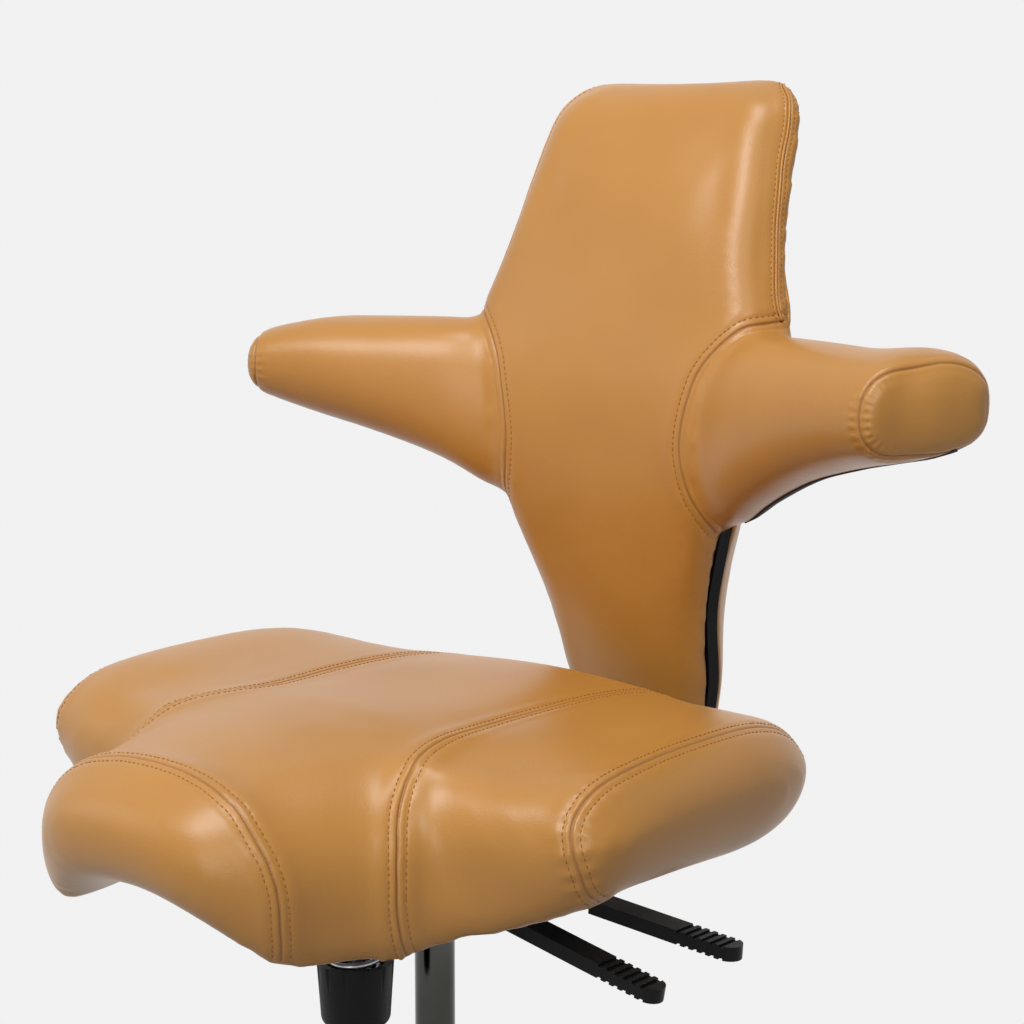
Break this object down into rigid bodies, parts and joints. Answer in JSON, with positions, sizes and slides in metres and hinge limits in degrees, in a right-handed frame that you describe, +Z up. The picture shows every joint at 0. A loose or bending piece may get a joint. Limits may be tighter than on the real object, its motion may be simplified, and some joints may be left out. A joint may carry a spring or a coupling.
{
  "type": "saddle chair",
  "caption": "Work chair with a leather saddle seat, a tapered padded back with side arms, tilt and height levers, on a gas column and a castor base.",
  "frame": {"origin": "on the floor under the castors, on the column axis", "axes": "+Z up along the column, +Y towards the backrest (the sitter faces -Y), +X to the sitter's left"},
  "size_m": [0.656, 0.613, 1.012],
  "materials": {
    "leather": "smooth camel leather, soft sheen",
    "black_plastic": "fine textured",
    "black_frame": "black powder coat",
    "cast_base": "black coated casting",
    "dark_chrome": "dark polished chrome",
    "bright_steel": "zinc plated",
    "rubber": "matt",
    "castor_plastic": "moulded satin",
    "castor_steel": "zinc plated",
    "wheel_tread": "soft tread"
  },
  "bodies": {
    "base": {"base_casting": "cast_base", "column_tube": "black_frame", "guide_bush": "black_plastic"},
    "swivel_rod": {"piston_rod": "bright_steel", "gas_piston": "bright_steel", "thrust_bearing": "bright_steel", "rod_clip": "bright_steel"},
    "mechanism": {"gas_cylinder": "dark_chrome", "mechanism_housing": "black_frame", "mechanism_pins": "bright_steel", "axle_clips": "bright_steel", "tilt_stop": "rubber", "tilt_spring": "bright_steel"},
    "valve": {"valve_pin": "bright_steel"},
    "height_lever": {"height_lever": "black_frame", "height_lever_grip": "black_plastic"},
    "tilt_frame": {"tilt_carrier": "black_frame", "slide_rails": "bright_steel", "back_upright": "black_frame", "upright_bolts": "bright_steel", "tension_bolt": "bright_steel", "slide_lever_pin": "bright_steel"},
    "tension_knob": {"tension_knob": "black_plastic"},
    "slide_lever": {"slide_lever": "black_frame", "slide_lever_grip": "black_plastic", "brake_pad": "rubber"},
    "seat": {"seat_slide_plate": "black_frame", "slide_blocks": "black_plastic", "seat_shell": "black_plastic", "seat_cushion": "leather", "seat_screws": "bright_steel"},
    "back": {"back_carriage": "black_frame", "back_shell": "black_plastic", "back_cushion": "leather", "arm_pad_left": "leather", "arm_pad_right": "leather", "back_cover": "leather", "arm_spar": "black_frame", "carriage_screws": "bright_steel"},
    "lock_knob": {"lock_knob": "black_plastic"},
    "castor_1": {"castor_hood_1": "castor_plastic", "castor_pins_1": "castor_steel"},
    "wheel_left_1": {"castor_wheel_left_1": "wheel_tread"},
    "wheel_right_1": {"castor_wheel_right_1": "wheel_tread"},
    "castor_2": {"castor_hood_2": "castor_plastic", "castor_pins_2": "castor_steel"},
    "wheel_left_2": {"castor_wheel_left_2": "wheel_tread"},
    "wheel_right_2": {"castor_wheel_right_2": "wheel_tread"},
    "castor_3": {"castor_hood_3": "castor_plastic", "castor_pins_3": "castor_steel"},
    "wheel_left_3": {"castor_wheel_left_3": "wheel_tread"},
    "wheel_right_3": {"castor_wheel_right_3": "wheel_tread"},
    "castor_4": {"castor_hood_4": "castor_plastic", "castor_pins_4": "castor_steel"},
    "wheel_left_4": {"castor_wheel_left_4": "wheel_tread"},
    "wheel_right_4": {"castor_wheel_right_4": "wheel_tread"},
    "castor_5": {"castor_hood_5": "castor_plastic", "castor_pins_5": "castor_steel"},
    "wheel_left_5": {"castor_wheel_left_5": "wheel_tread"},
    "wheel_right_5": {"castor_wheel_right_5": "wheel_tread"}
  },
  "joints": [
    {"name": "column_swivel", "type": "hinge", "parent": "base", "child": "swivel_rod", "pos_m": [0, 0, 0.2], "axis": [0, 0, 1], "continuous": true},
    {"name": "seat_lift", "type": "slide", "parent": "swivel_rod", "child": "mechanism", "axis": [0, 0, 1], "range_m": [-0.1, 0.1]},
    {"name": "height_lever_lift", "type": "hinge", "parent": "mechanism", "child": "height_lever", "pos_m": [0.038, 0, 0.4747], "axis": [0, -1, 0], "range_deg": [0, 8], "stiffness_Nm_per_rad": 6, "springref_deg": -5.73},
    {"name": "valve_press", "type": "slide", "parent": "mechanism", "child": "valve", "axis": [0, 0, -1], "range_m": [0, 0.0065]},
    {"name": "seat_tilt", "type": "hinge", "parent": "mechanism", "child": "tilt_frame", "pos_m": [0, 0.03, 0.4757], "axis": [-1, 0, 0], "range_deg": [0, 10], "stiffness_Nm_per_rad": 120, "springref_deg": -8.59, "deforming": ["tilt_spring"]},
    {"name": "tension_turn", "type": "hinge", "parent": "tilt_frame", "child": "tension_knob", "pos_m": [0, -0.078, 0.406], "axis": [0, 0, 1], "continuous": true},
    {"name": "slide_lever_lift", "type": "hinge", "parent": "tilt_frame", "child": "slide_lever", "pos_m": [0.054, 0.08, 0.4837], "axis": [0, -1, 0], "range_deg": [0, 8], "stiffness_Nm_per_rad": 6, "springref_deg": -5.73},
    {"name": "seat_depth", "type": "slide", "parent": "tilt_frame", "child": "seat", "axis": [0, 1, 0], "range_m": [-0.04, 0.03]},
    {"name": "back_height", "type": "slide", "parent": "tilt_frame", "child": "back", "axis": [0, 0, 1], "range_m": [-0.02, 0.06]},
    {"name": "lock_turn", "type": "hinge", "parent": "back", "child": "lock_knob", "pos_m": [0, 0.29, 0.71], "axis": [0, 1, 0], "continuous": true},
    {"name": "castor_swivel_1", "type": "hinge", "parent": "base", "child": "castor_1", "pos_m": [0, -0.29, 0.07], "axis": [0, 0, 1], "continuous": true},
    {"name": "wheel_left_roll_1", "type": "hinge", "parent": "castor_1", "child": "wheel_left_1", "pos_m": [0, -0.268, 0.03], "axis": [1, 0, 0], "continuous": true},
    {"name": "wheel_right_roll_1", "type": "hinge", "parent": "castor_1", "child": "wheel_right_1", "pos_m": [0, -0.268, 0.03], "axis": [1, 0, 0], "continuous": true},
    {"name": "castor_swivel_2", "type": "hinge", "parent": "base", "child": "castor_2", "pos_m": [0.27581, -0.08962, 0.07], "axis": [0, 0, 1], "continuous": true},
    {"name": "wheel_left_roll_2", "type": "hinge", "parent": "castor_2", "child": "wheel_left_2", "pos_m": [0.27581, -0.06761, 0.03], "axis": [1, 0, 0], "continuous": true},
    {"name": "wheel_right_roll_2", "type": "hinge", "parent": "castor_2", "child": "wheel_right_2", "pos_m": [0.27581, -0.06761, 0.03], "axis": [1, 0, 0], "continuous": true},
    {"name": "castor_swivel_3", "type": "hinge", "parent": "base", "child": "castor_3", "pos_m": [0.17046, 0.23461, 0.07], "axis": [0, 0, 1], "continuous": true},
    {"name": "wheel_left_roll_3", "type": "hinge", "parent": "castor_3", "child": "wheel_left_3", "pos_m": [0.17046, 0.25661, 0.03], "axis": [1, 0, 0], "continuous": true},
    {"name": "wheel_right_roll_3", "type": "hinge", "parent": "castor_3", "child": "wheel_right_3", "pos_m": [0.17046, 0.25661, 0.03], "axis": [1, 0, 0], "continuous": true},
    {"name": "castor_swivel_4", "type": "hinge", "parent": "base", "child": "castor_4", "pos_m": [-0.17046, 0.23461, 0.07], "axis": [0, 0, 1], "continuous": true},
    {"name": "wheel_left_roll_4", "type": "hinge", "parent": "castor_4", "child": "wheel_left_4", "pos_m": [-0.17046, 0.25661, 0.03], "axis": [1, 0, 0], "continuous": true},
    {"name": "wheel_right_roll_4", "type": "hinge", "parent": "castor_4", "child": "wheel_right_4", "pos_m": [-0.17046, 0.25661, 0.03], "axis": [1, 0, 0], "continuous": true},
    {"name": "castor_swivel_5", "type": "hinge", "parent": "base", "child": "castor_5", "pos_m": [-0.27581, -0.08962, 0.07], "axis": [0, 0, 1], "continuous": true},
    {"name": "wheel_left_roll_5", "type": "hinge", "parent": "castor_5", "child": "wheel_left_5", "pos_m": [-0.27581, -0.06761, 0.03], "axis": [1, 0, 0], "continuous": true},
    {"name": "wheel_right_roll_5", "type": "hinge", "parent": "castor_5", "child": "wheel_right_5", "pos_m": [-0.27581, -0.06761, 0.03], "axis": [1, 0, 0], "continuous": true}
  ],
  "couplings": [
    {"joint": "valve_press", "follows": "height_lever_lift", "m_per_rad": 0.042}
  ]
}
